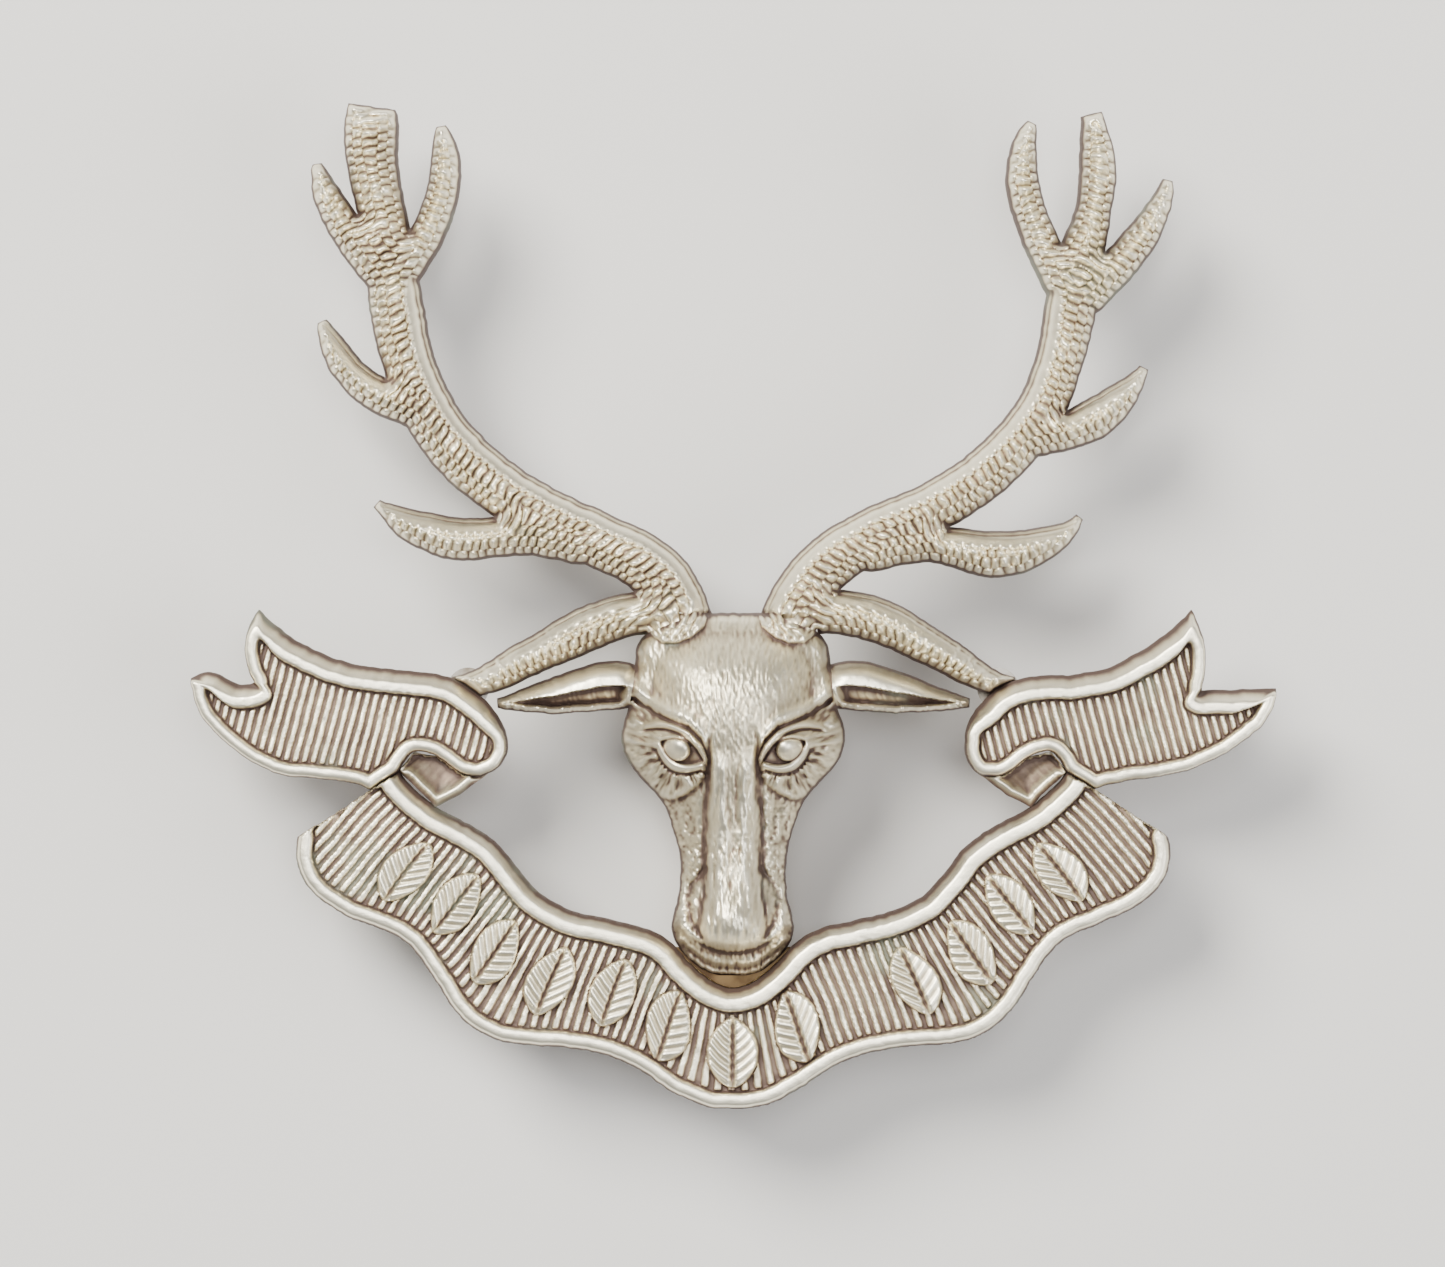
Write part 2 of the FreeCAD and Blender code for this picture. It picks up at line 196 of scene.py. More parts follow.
def segment_distance(points, edges):
    """Distance from each point to the edge in the same place of the other list."""
    along = edges[..., 1, :] - edges[..., 0, :]
    offset = points - edges[..., 0, :]
    length2 = np.maximum((along ** 2).sum(axis=-1), 1e-12)
    t = np.clip((offset * along).sum(axis=-1) / length2, 0, 1)
    return np.sqrt(((offset - t[..., None] * along) ** 2).sum(axis=-1))


def distance(points, edges):
    """Distance from each point to the nearest of many short edges."""
    tree = KDTree(len(edges))
    for i, (x, y) in enumerate(edges.mean(axis=1).tolist()):
        tree.insert((x, y, 0), i)
    tree.balance()
    nearest = np.array([tree.find((x, y, 0))[1] for x, y in points.tolist()])
    around = [segment_distance(points, edges[(nearest + shift) % len(edges)]) for shift in (-1, 0, 1)]
    return np.min(around, axis=0)


PROBE = 0.15         # how far outside an edge another piece is looked for
MAJORITY_REACH = 13  # edges to each side that vote on whether one is free
MAJORITY = 0.47


def free_edges(node, group):
    """The edges of a node's outline that no other node of the group lies against."""
    edges = segments(OUTLINES[node])
    run = edges[:, 1] - edges[:, 0]
    outward = np.stack([run[:, 1], -run[:, 0]], axis=1) / np.linalg.norm(run, axis=1)[:, None]
    probes = edges.mean(axis=1) + PROBE * outward
    free = np.ones(len(edges), dtype=bool)
    for other in group:
        if other != node:
            free &= ~inside(probes, OUTLINES[other])
    # a majority along the outline decides, so that slivers between two pieces don't count as open edge
    wrapped = np.concatenate([free[-MAJORITY_REACH:], free, free[:MAJORITY_REACH]]).astype(float)
    voters = 2 * MAJORITY_REACH + 1
    share = np.convolve(wrapped, np.full(voters, 1 / voters), mode="valid")
    return edges[share > MAJORITY]


# ---------------------------------------------------------------- fields over a piece
class Field:
    """Smooth fields on a square grid round an outline, read anywhere by cubic splines."""

    def __init__(self, loop):
        self.low = loop.min(axis=0) - MARGIN * GRID
        self.shape = tuple(np.ceil((loop.max(axis=0) - self.low) / GRID).astype(int) + MARGIN)
        i, j = np.meshgrid(np.arange(self.shape[0]), np.arange(self.shape[1]), indexing="ij")
        self.points = np.stack([self.low[0] + i.ravel() * GRID, self.low[1] + j.ravel() * GRID], axis=1)
        self.inside = inside(self.points, loop)

    def depth(self, edges, within=None):
        """Distance to the edges, negative outside the outline."""
        mask = self.inside if within is None else within
        return np.where(mask, 1, -1) * distance(self.points, edges)

    def read(self, values, points):
        """Values at any points, by a uniform cubic B-spline."""
        values = values.reshape(self.shape)
        g = (points - self.low) / GRID
        base = np.clip(np.floor(g).astype(int), 1, np.array(self.shape) - 3)
        t = g - base
        result = np.zeros(len(points))
        weights = [spline_weights(t[:, 0]), spline_weights(t[:, 1])]
        for i in range(4):
            for j in range(4):
                corner = values[base[:, 0] + i - 1, base[:, 1] + j - 1]
                result += weights[0][i] * weights[1][j] * corner
        return result

    def gradient(self, values):
        gx, gy = np.gradient(values.reshape(self.shape), GRID)
        return gx.ravel(), gy.ravel()

    def softened(self, values, rounds, mask=None):
        """Values averaged with their neighbours inside the mask, which leaves its edges free."""
        grid = values.reshape(self.shape)
        weight = np.ones(self.shape) if mask is None else mask.reshape(self.shape).astype(float)
        for _ in range(rounds):
            mean = neighbours(grid * weight) / np.maximum(neighbours(weight), 1e-9)
            grid = mean * weight + grid * (1 - weight)
        return grid.ravel()

    def along(self, mask, sources, rounds):
        """Distance from the sources through the mask, softened so that its steps lie square across a limb."""
        far = 1e6
        mask, reach = mask.reshape(self.shape), np.full(self.shape, far)
        start = sources.reshape(self.shape) & mask
        reach[start] = 0
        for _ in range(sum(self.shape)):
            padded = np.pad(reach, 1, constant_values=far)
            across = np.minimum(padded[:-2, 1:-1], padded[2:, 1:-1])
            up = np.minimum(padded[1:-1, :-2], padded[1:-1, 2:])
            near, other = np.minimum(across, up), np.maximum(across, up)
            gap = other - near
            both = 0.5 * (near + other + np.sqrt(np.maximum(2 * GRID ** 2 - gap ** 2, 0)))
            reach = np.where(mask, np.minimum(reach, np.where(gap >= GRID, near + GRID, both)), far)
        known = mask & (reach < far / 2)
        reach = self.softened(np.where(known, reach, 0).ravel(), rounds, known.ravel()).reshape(self.shape)
        for _ in range(MARGIN):
            weight = known.astype(float)
            spread = neighbours(reach * weight) / np.maximum(neighbours(weight), 1e-9)
            grown = neighbours(weight) > 0
            reach = np.where(known, reach, np.where(grown, spread, 0))
            known = known | grown
        return reach.ravel()


def spline_weights(t):
    return [(1 - t) ** 3 / 6, (3 * t ** 3 - 6 * t ** 2 + 4) / 6,
            (-3 * t ** 3 + 3 * t ** 2 + 3 * t + 1) / 6, t ** 3 / 6]


def neighbours(grid):
    padded = np.pad(grid, 1)
    return padded[:-2, 1:-1] + padded[2:, 1:-1] + padded[1:-1, :-2] + padded[1:-1, 2:]


# ---------------------------------------------------------------- relief of the head striking
LIMB_HALF_WIDTH = 1.75
LIMB_FOOT = 0.6
LIMB_CREST = 1.4     # height of the rounded back over its half width
DOME_REACH = 6.2     # from the edge of the face to where the mask is full
DOME_FOOT = 0.7
DOME_RISE = 5.7
BEAD_PITCH = 0.57
BEAD_ROW = 0.6
BEAD_RISE = 0.42
STRIP_WIDTH = 1.0    # plain strip along the inner, upper side of an antler


def limb_height(depth):
    """The rounded back of an antler or ear, from the distance to its edge."""
    s = np.clip(depth, 0, LIMB_HALF_WIDTH)
    return LIMB_FOOT + LIMB_CREST * np.sqrt(s * (2 * LIMB_HALF_WIDTH - s))


def dome_height(depth):
    """The mask of the face, from the distance to its edge."""
    s = np.clip(depth, 0, DOME_REACH)
    return DOME_FOOT + DOME_RISE * (1 - (1 - s / DOME_REACH) ** 2.4)


def bead_rows(along, depth, x, y, pitch, row):
    """Rows of raised beads across a limb, broken like brickwork, from 0 to 1."""
    warp = 0.5 * noise(x / 1.1, y / 1.1, 21) + 0.25 * noise(x / 0.4, y / 0.4, 22)
    place = (depth + 0.12 * (noise(x / 0.8, y / 0.8, 23) - 0.5)) / row
    count = np.floor(place)
    across = 1 - np.abs(2 * (place - count) - 1) ** 3
    wave = 0.5 + 0.5 * np.cos(2 * np.pi * (along / pitch + 0.37 * count + warp))
    return wave ** 0.7 * (0.35 + 0.65 * across) * (0.65 + 0.7 * noise(x / 0.5, y / 0.5, 24))


class HeadStriking:
    """What head, ears and antlers share: one surface, so that nothing steps where two of them meet."""

    def __init__(self, node):
        self.field = Field(OUTLINES[node])
        inside_any = self.field.inside.copy()
        for other in HEAD_STRIKING:
            inside_any |= inside(self.field.points, OUTLINES[other])
        in_head = inside(self.field.points, OUTLINES["stag_head"])
        self.depth = self.field.depth(FREE_EDGES, inside_any)
        self.head_depth = self.field.depth(segments(OUTLINES["stag_head"]), in_head)
        plain = dome_height(self.head_depth)
        rounded = self.field.softened(plain, 40, in_head)
        self.dome = plain + (rounded - plain) * step(self.head_depth, 0.5, 1.4)

    def base(self, points):
        """Depth inside the free outline, depth inside the head, and the height they give."""
        d, h = self.field.read(self.depth, points), self.field.read(self.head_depth, points)
        return d, h, smooth_max(limb_height(d), self.field.read(self.dome, points), 0.25)


FREE_EDGES = np.concatenate([free_edges(node, HEAD_STRIKING) for node in HEAD_STRIKING])


def antler_relief(side):
    """Height over a whole antler; side is -1 for the left one and 1 for the right one."""
    node = "left_antler" if side < 0 else "right_antler"
    loop = OUTLINES[node]
    striking = HeadStriking(node)
    field = striking.field
    root = (striking.head_depth > -0.4) & (field.points[:, 1] > HEAD_TOP - 2.5)
    along = field.along(field.inside, root, 40)
    gx, gy = field.gradient(striking.depth)
    top = loop[:, 1].max()

    def relief(points):
        x, y = points[:, 0], points[:, 1]
        d, h, height = striking.base(points)
        s = field.read(along, points)
        # the outward direction at the nearest edge picks out the plain strip on the inner, upper side
        facing = -(field.read(gx, points) * 0.6 * -side + field.read(gy, points) * 0.8)
        crown = step(y, top - 12.5, top - 9.5)
        strip_width = STRIP_WIDTH - 0.75 * crown
        strip = step(facing, 0.05, 0.35) * (1 - step(d, strip_width - 0.12, strip_width + 0.12))
        rough = (1 - strip) * step(d, 0.1, 0.35)
        beads = bead_rows(s, d, x, y, BEAD_PITCH, BEAD_ROW)
        height += BEAD_RISE * (beads - 0.36) * rough
        height -= 0.2 * bump(d, 0.34, 0.09) * step(facing, 0.1, 0.4) * (1 - crown)
        height += 0.05 * (cloud(x / 0.35, y / 0.35, 31) - 0.5) * (0.4 + rough)
        height += 0.12 * (cloud(x / 1.6, y / 1.6, 33) - 0.5) * step(-h, 0.0, 0.5)
        return np.maximum(height, LOWEST)

    return field, relief


EAR_HOLLOW, EAR_RIM, EAR_HAIR = 1.2, 0.14, 0.16


def ear_relief(side):
    node = "left_ear" if side < 0 else "right_ear"
    striking = HeadStriking(node)
    field = striking.field
    gy = field.gradient(striking.depth)[1]
    reach = np.abs(OUTLINES[node][:, 0] - FACE_AXIS).max()

    def relief(points):
        x, y = points[:, 0], points[:, 1]
        d, h, height = striking.base(points)
        lower = step(field.read(gy, points), -0.25, 0.25)
        tip = step(np.abs(x - FACE_AXIS), reach - 3.0, reach)
        apart = step(-h, 0.1, 0.9)
        hollow = lower * step(d, 0.3, 0.62) * (1 - 0.7 * tip) * apart
        height += -EAR_HOLLOW * hollow + EAR_RIM * (1 - lower) * bump(d, 0.8, 0.45) * apart
        hatch = noise((x + 0.4 * y) / 0.16, y / 0.9, 41) - 0.5
        height += EAR_HAIR * hatch * lower * (1 - 0.6 * hollow) + 0.05 * (cloud(x / 0.5, y / 0.5, 42) - 0.5)
        return np.maximum(height, LOWEST)

    return field, relief


# Places on the face, in millimetres: out from the face's axis, and down from the top of the head.
BROW_OUT = (1.2, 1.5, 1.95, 2.75, 4.05, 5.4, 7.2)
BROW_DOWN = (10.8, 9.0, 7.9, 7.1, 6.6, 5.85, 4.6)
BURR_OUT = (1.3, 1.8, 2.6, 3.5, 4.4, 5.2, 5.8)
BURR_DOWN = (-0.6, 0.95, 1.65, 2.0, 1.95, 1.35, 0.2)
ORB = (4.3, 8.2, 3.15, 3.5)              # middle out, middle down, half width, half height
EYE_MIDDLE = (3.15, 8.6)
EYE_TILT = math.radians(24)
EYEBALL = (-0.38, 0.88, 0.82)           # along the slit from its middle, and the ball's two radii
EYE_HALF_LENGTH = 1.5
NOSTRIL = ((1.75, 16.0), (2.5, 16.9), (2.85, 17.9), (2.65, 19.2), (1.95, 20.2))
BRIDGE_DOWN = (7.5, 9.3, 13.0, 17.0, 19.5, 21.0)
BRIDGE_HALF = (1.15, 1.35, 1.55, 1.62, 1.9, 1.95)
MOUTH_DOWN = 20.95

# Heights on the face, in millimetres, over the mask that it shares with the antlers and ears.
FOREHEAD_RISE, SOCKET_DROP = 0.95, 0.65
BROW_RIDGE, BROW_GROOVE = 0.34, 0.42
ORB_FOOT, ORB_RISE, ORB_HAIR = 0.32, 0.55, 0.4
LID_UPPER, LID_LOWER, LID_GROOVE = 0.3, 0.34, 0.3
LID_FOLD, LID_FOLD_GROOVE = 0.55, 0.26
STRIP_RISE, STRIP_GROOVE = 0.42, 0.1
BRIDGE_RIDGE, BRIDGE_DIP = 0.16, 0.2
NOSE_PAD, MUZZLE_RISE, CHEEK_RISE = 0.4, 0.45, 0.3
NOSTRIL_DEPTH, NOSTRIL_WING = 0.34, 0.3
LIP_GROOVE, CHIN_DROP, CHIN_ROLL = 0.22, 0.4, 0.16
BURR_RISE, BURR_BEADS, BURR_KNOBS = 0.4, 0.22, 0.26
HAIR, STIPPLE, GRAIN = 0.1, 0.16, 0.2


def eye_relief(u, v):
    """Eyeball, two lids and the creases round them, over the eye socket; u is out and v is down. Also returns
    how far the hair round the eye has to give way to them."""
    du, dv = u - EYE_MIDDLE[0], v - EYE_MIDDLE[1]
    a = -du * math.cos(EYE_TILT) + dv * math.sin(EYE_TILT)
    b = du * math.sin(EYE_TILT) + dv * math.cos(EYE_TILT)
    reach = np.clip(1 - (a / EYE_HALF_LENGTH) ** 2, 0, None)
    upper, lower = -b - 0.66 * reach, b - 0.8 * reach
    lid_reach = step(2.2 - np.abs(a), 0.0, 0.7)
    opening = (1 - step(np.maximum(upper, lower), -0.1, 0.04)) * step(reach, 0.02, 0.2)
    ball = np.clip(1 - ((a - EYEBALL[0]) / EYEBALL[1]) ** 2 - (b / EYEBALL[2]) ** 2, 0, None)
    height = opening * (np.sqrt(ball) - 0.4)
    height += LID_UPPER * bump(upper, 0.17, 0.14) * lid_reach
    height += LID_LOWER * bump(lower, 0.28, 0.22) * lid_reach
    height -= LID_GROOVE * bump(lower, 0.66, 0.14) * lid_reach
    # the heavy fold over the upper lid runs past both corners of the eye
    fold = b + 1.24 - 0.19 * (a + 0.75) ** 2
    fold_reach = step(a, -3.1, -2.2) * (1 - step(a, 1.5, 2.1))
    height += (LID_FOLD * bump(fold, 0, 0.24) - LID_FOLD_GROOVE * bump(fold, 0.36, 0.1)) * fold_reach
    lids = lid_reach * (step(upper, -1.2, 0.1) + step(lower, -1.2, 0.1))
    lids = lids * (1 - step(np.maximum(upper, lower), 0.55, 0.75))
    quiet = np.clip(opening + lids + fold_reach * bump(fold, 0, 0.5), 0, 1)
    return height, quiet


def polyline_distance(u, v, places):
    spots, here = np.array(places), np.stack([u, v], axis=1)
    return np.min([segment_distance(here, np.array([a, b])[None]) for a, b in zip(spots, spots[1:])], axis=0)


def head_relief():
    striking = HeadStriking("stag_head")

    def relief(points):
        x, y = points[:, 0], points[:, 1]
        u, v = np.abs(x - FACE_AXIS), HEAD_TOP - y
        d, h, height = striking.base(points)
        inner = step(h, 0.0, 0.5)

        # forehead, standing over the two eye sockets
        brow = np.interp(u, BROW_OUT, BROW_DOWN)
        over = brow - v
        blend = 0.32 + 4.6 * (1 - step(u, 1.1, 1.8))
        forehead = step(over, -0.3 * blend, blend)
        ridge = BROW_RIDGE * bump(over, 0.55, 0.42) * step(u, 1.5, 2.4)
        height += inner * (FOREHEAD_RISE * forehead - SOCKET_DROP + ridge)
        height -= inner * BROW_GROOVE * bump(over, -0.14, 0.17) * step(u, 1.4, 1.8)

        # eye orb, which bulges over the cheek
        e = ((u - ORB[0]) / ORB[2]) ** 2 + ((v - ORB[1]) / ORB[3]) ** 2
        orb = (1 - step(np.sqrt(e), 0.93, 1.05)) * (1 - forehead) * step(u, 1.4, 2.0)
        height += inner * orb * (ORB_FOOT + ORB_RISE * np.sqrt(np.clip(1 - e, 0, 1)))
        eye, quiet = eye_relief(u, v)
        eye_zone = (1 - forehead) * step(u, 1.35, 1.8)
        height += inner * eye * eye_zone
        angle = np.arctan2(v - EYE_MIDDLE[1], u - EYE_MIDDLE[0])
        rings = np.hypot(v - EYE_MIDDLE[1], u - EYE_MIDDLE[0])
        radial = noise(angle * 10.5, rings / 0.7, 51) + 0.5 * noise(angle * 17.0, rings / 0.35, 52) - 0.75
        height += ORB_HAIR * radial * orb * (1 - quiet) * inner

        # nose bridge: a raised strip with two ridges and a shallow dip between, ending in the nose pad
        half = np.interp(v, BRIDGE_DOWN, BRIDGE_HALF)
        end = MOUTH_DOWN + 0.2 - 0.14 * np.minimum(u, 3.3) ** 2
        length = step(v, 8.2, 10.0) * (1 - step(v, end - 0.7, end))
        strip = step(half - u, -0.22, 0.3)
        height += length * (STRIP_RISE * strip - STRIP_GROOVE * bump(u, half + 0.26, 0.18))
        ridges = BRIDGE_RIDGE * bump(u, 0.85, 0.4) - BRIDGE_DIP * bump(u, 0.08, 0.36)
        height += length * (1 - step(v, 17.5, 19.5)) * ridges
        pad = np.exp(-((u / 1.9) ** 2 + ((v - 19.5) / 1.5) ** 2) ** 1.5)
        height += NOSE_PAD * pad + MUZZLE_RISE * step(v, 12.0, 19.0) * (1 - step(v, 20.4, 21.3)) * inner

        # nostrils, cheeks, mouth and chin
        groove = polyline_distance(u, v, NOSTRIL)
        height -= NOSTRIL_DEPTH * bump(groove, 0, 0.24) * inner
        height += NOSTRIL_WING * np.exp(-((u - 3.15) / 0.6) ** 2 - ((v - 18.9) / 1.3) ** 2) * inner
        cheek = step(v, 10.5, 12.0) * step(u, half + 0.2, half + 0.7)
        height += CHEEK_RISE * cheek * inner * (1 - step(v, 15.0, 17.0))
        mouth = v - end
        lip = LIP_GROOVE * bump(mouth, 0.1, 0.15) * step(2.7 - u, 0, 0.5)
        height -= lip + CHIN_DROP * step(mouth, -0.35, 0.5)
        height += CHIN_ROLL * bump(mouth, 0.75, 0.3)

        # burrs, the beaded rings where the antlers stand on the forehead
        ring = np.interp(u, BURR_OUT, BURR_DOWN) - v
        burr = step(ring, -0.05, 0.22) * step(u, 1.4, 1.9)
        beads = 0.5 + 0.5 * np.cos(2 * np.pi * (u / 0.56 + 0.3 * noise(x, y, 61)))
        height += burr * (BURR_RISE + BURR_BEADS * (beads - 0.5) * bump(ring, 0.3, 0.28))
        knobs = bead_rows(u + 0.3 * ring, ring + 2, x, y, 0.6, 0.6)
        height += BURR_KNOBS * (knobs - 0.35) * burr * step(ring, 0.4, 0.6)

        # hair: strokes down the forehead and bridge, stipple on the cheeks
        bare = (1 - burr) * (1 - 0.9 * np.clip(orb + quiet * eye_zone, 0, 1))
        lean = x + 0.10 * u * v * np.sign(x - FACE_AXIS) / 6
        hair = noise(lean / 0.15, y / 0.42, 71) + 0.6 * noise(lean / 0.11, y / 0.26, 72) - 0.8
        grain = (noise(x / 0.2, y / 0.75, 76) - 0.5) * step(v, 8.5, 10.5) * (1 - cheek)
        stipple = noise(x / 0.22, y / 0.3, 73) + 0.6 * noise(x / 0.14, y / 0.17, 74) - 0.8
        worn = 0.5 + cloud(x / 2.2, y / 2.2, 75)
        height += bare * (worn * (HAIR * hair * (1 - cheek) + STIPPLE * stipple * cheek) + GRAIN * grain)
        return np.maximum(height, LOWEST)

    return striking.field, relief


# ---------------------------------------------------------------- relief of the scroll striking
GROUND = 1.8         # sunk ground of the ribbon
RIM_TOP = 2.55       # crest of its raised border
BORDER_FOOT = 1.15   # where the border's outer slope starts
UPPER_BORDER, UPPER_BEVEL = 1.4, 0.4      # the band's border: its width, and the share that slopes
LOWER_BORDER, LOWER_BEVEL = 1.02, 0.25
LINE_PITCH = 0.555   # of the ruled lines on the ground
LINE_HEIGHT = 0.26
LEAF_HEIGHT = 0.62
TAIL_LEAN = math.radians(15)              # of the ruled lines on the tails


def ruled(across, x, y):
    """Raised lines with flat brown valleys between them, from 0 to 1, cut a little unevenly."""
    wander = 0.10 * noise(x / 1.3, y / 1.3, 81) + 0.07 * noise(x / 0.35, y / 0.35, 82)
    wave = 0.5 + 0.5 * np.cos(2 * np.pi * (across / LINE_PITCH + wander))
    return step(wave, 0.2, 0.74) * (0.8 + 0.3 * noise(x / 0.5, y / 0.8, 83))


def rim_profile(depth, width, bevel):
    """Height of the raised border, and how much of it is border rather than ground. bevel is how much of the
    border's width is an outer slope."""
    t = depth / width
    slope = step(t, -0.15, 0.95 * bevel + 0.12)
    fall = ((t - 0.5 * (1 + bevel)) / 0.5) ** 2 * step(t, bevel, bevel + 0.1)
    crest = BORDER_FOOT + (RIM_TOP - BORDER_FOOT) * slope - 0.16 * fall
    border = 1 - step(depth, width - 0.1, width + 0.12)
    return crest, border


def tail_relief(side):
    node = "left_scroll_tail" if side < 0 else "right_scroll_tail"
    loop = OUTLINES[node]
    field = Field(loop)
    depth = field.depth(segments(loop))
    gy = field.softened(field.gradient(depth)[1], 3)

    def relief(points):
        x, y = points[:, 0], points[:, 1]
        d = field.read(depth, points)
        upward = step(-field.read(gy, points), 0.1, 0.75)
        width = 0.82 + 0.62 * upward
        crest, border = rim_profile(d, width, 0.12 + 0.42 * upward)
        across = x * math.cos(TAIL_LEAN) + side * y * math.sin(TAIL_LEAN)
        lines = ruled(across, x, y) * step(d, width + 0.02, width + 0.25)
        height = crest * border + (GROUND + LINE_HEIGHT * lines) * (1 - border)
        height += 0.05 * (cloud(x / 0.8, y / 0.8, 91) - 0.5) + 0.16 * np.sin(x / 2.3) * 0.5
        return np.maximum(height, LOWEST)

    return field, relief


def leaf(a, b, half_length, half_width):
    """A raised pointed leaf with a midrib, standing across the ribbon, from 0 to 1."""
    t = a / half_length
    half = half_width * np.clip(1 - t * t, 0, 1) ** 0.75
    body = step(half - np.abs(b), -0.04, 0.2) * step(1 - np.abs(t), 0.0, 0.05)
    rib = 1 - 0.5 * bump(b, 0, 0.13)
    veins = 1 + 0.12 * np.cos(2 * np.pi * (a - 0.9 * np.abs(b)) / 0.62)
    return body * rib * veins * (0.75 + 0.25 * np.sqrt(np.clip(1 - (b / np.maximum(half, 0.05)) ** 2, 0, 1)))


LEAF_PLACES = 13     # along the band; one is left as plain ground
EMPTY_PLACE = 8
LEAF_RUN = 0.84      # share of the band's length that the places take up
LEAF_HALF_LENGTH = 2.3
LEAF_HALF_WIDTH = 1.35


# A band's end lies beyond this share of its half width, faces up by this much, and is this near its top.
END_SHARE, END_FACING, END_DROP = 0.755, 0.62, 4.6
EVENING = 700        # rounds that even out the distance along the band, away from its ends


def band_relief():
    loop = OUTLINES["scroll_band"]
    field = Field(loop)
    edges = segments(loop)
    middle = edges.mean(axis=1)
    run = edges[:, 1] - edges[:, 0]
    outward = np.stack([run[:, 1], -run[:, 0]], axis=1) / np.linalg.norm(run, axis=1)[:, None]
    # the two ends, where the band goes behind the tails, have no border
    reach = np.abs(loop[:, 0]).max()
    shoulder = np.abs(middle[:, 0]) > END_SHARE * reach
    end = shoulder & (outward[:, 1] > END_FACING) & (middle[:, 1] > loop[:, 1].max() - END_DROP)
    towards_face = ((np.array([FACE_AXIS, HEAD_TOP - 8]) - middle) * outward).sum(axis=1) > 0
    upper, lower = edges[towards_face & ~end], edges[~towards_face & ~end]
    depth_upper, depth_lower = (field.depth(e) for e in (upper, lower))
    left_end = field.inside & (distance(field.points, edges[end & (middle[:, 0] < 0)]) < 1.5 * GRID)
    right_end = field.inside & (distance(field.points, edges[end & (middle[:, 0] > 0)]) < 1.5 * GRID)
    from_left, from_right = (field.along(field.inside, spots, 0) for spots in (left_end, right_end))
    along = (from_left - from_right) / 2
    square = field.softened(along, EVENING, field.inside)
    along += (square - along) * step(np.minimum(from_left, from_right), 2.0, 8.0)
    length = np.ptp(along[field.inside])

    def relief(points):
        x, y = points[:, 0], points[:, 1]
        du, dl = field.read(depth_upper, points), field.read(depth_lower, points)
        s = field.read(along, points)
        crest_u, border_u = rim_profile(du, UPPER_BORDER, UPPER_BEVEL)
        crest_l, border_l = rim_profile(dl, LOWER_BORDER, LOWER_BEVEL)
        border = np.maximum(border_u, border_l)
        crest = np.where(du < dl, crest_u, crest_l)
        place = (s / (LEAF_RUN * length) + 0.5) * LEAF_PLACES
        count = np.clip(np.floor(place), 0, LEAF_PLACES - 1)
        b = (place - count - 0.5) * LEAF_RUN * length / LEAF_PLACES
        a = (dl - LOWER_BORDER - du + UPPER_BORDER) / 2
        leaves = leaf(a, b, LEAF_HALF_LENGTH, LEAF_HALF_WIDTH) * (count != EMPTY_PLACE)
        lines = ruled(s, x, y) * step(np.minimum(du - UPPER_BORDER, dl - LOWER_BORDER), 0.02, 0.25)
        ground = GROUND + LINE_HEIGHT * lines * (1 - step(leaves, 0.02, 0.3)) + LEAF_HEIGHT * leaves
        height = crest * border + ground * (1 - border)
        height += 0.05 * (cloud(x / 0.8, y / 0.8, 92) - 0.5)
        return np.maximum(height, LOWEST)

    return field, relief


FOLD_TOP = 1.25
FOLD_HOLLOW, FOLD_RIM, FOLD_RISE = 0.55, 0.35, 0.45


def fold_relief(side):
    """The inside of the ribbon where it turns over: hollowed, with a rounded free edge and drawn streaks."""
    node = "left_scroll_fold" if side < 0 else "right_scroll_fold"
    loop = OUTLINES[node]
    field = Field(loop)
    around = [n for n in RELIEF_NODES if n != node]
    edge = field.depth(free_edges(node, around))

    def relief(points):
        x, y = points[:, 0], points[:, 1]
        d = field.read(edge, points)
        streaks = noise((x * side - y) / 1.6, (x * side + y) / 0.22, 96) - 0.5
        height = FOLD_TOP - FOLD_HOLLOW * step(d, 0.35, 1.9) + FOLD_RIM * bump(d, 0.42, 0.3)
        height += FOLD_RISE * step(d, 2.6, 4.6)
        return height + 0.05 * streaks + 0.08 * (cloud(x / 0.9, y / 0.9, 95) - 0.5)

    return field, relief


# ---------------------------------------------------------------- meshes
def triangulate(loop, spacing, clearance):
    """Points and triangles that fill an outline: its own points, then an even grid inside them."""
    low, high = loop.min(axis=0), loop.max(axis=0)
    rows = np.arange(low[1], high[1], spacing * math.sqrt(3) / 2)
    grid = []
    for k, row in enumerate(rows):
        places = np.arange(low[0] + (k % 2) * spacing / 2, high[0], spacing)
        grid.append(np.stack([places, np.full(len(places), row)], axis=1))
    grid = np.concatenate(grid)
    grid = grid[inside(grid, loop)]
    coarse = Field(loop)
    grid = grid[coarse.read(coarse.depth(segments(loop)), grid) > clearance]
    points = np.concatenate([loop, grid])
    count = len(loop)
    edges = [(i, (i + 1) % count) for i in range(count)]
    result = delaunay_2d_cdt([Vector(p) for p in points.tolist()], edges, [list(range(count))], 1, 1e-7)
    assert len(result[0]) == len(points)
    return points, np.array(result[2])


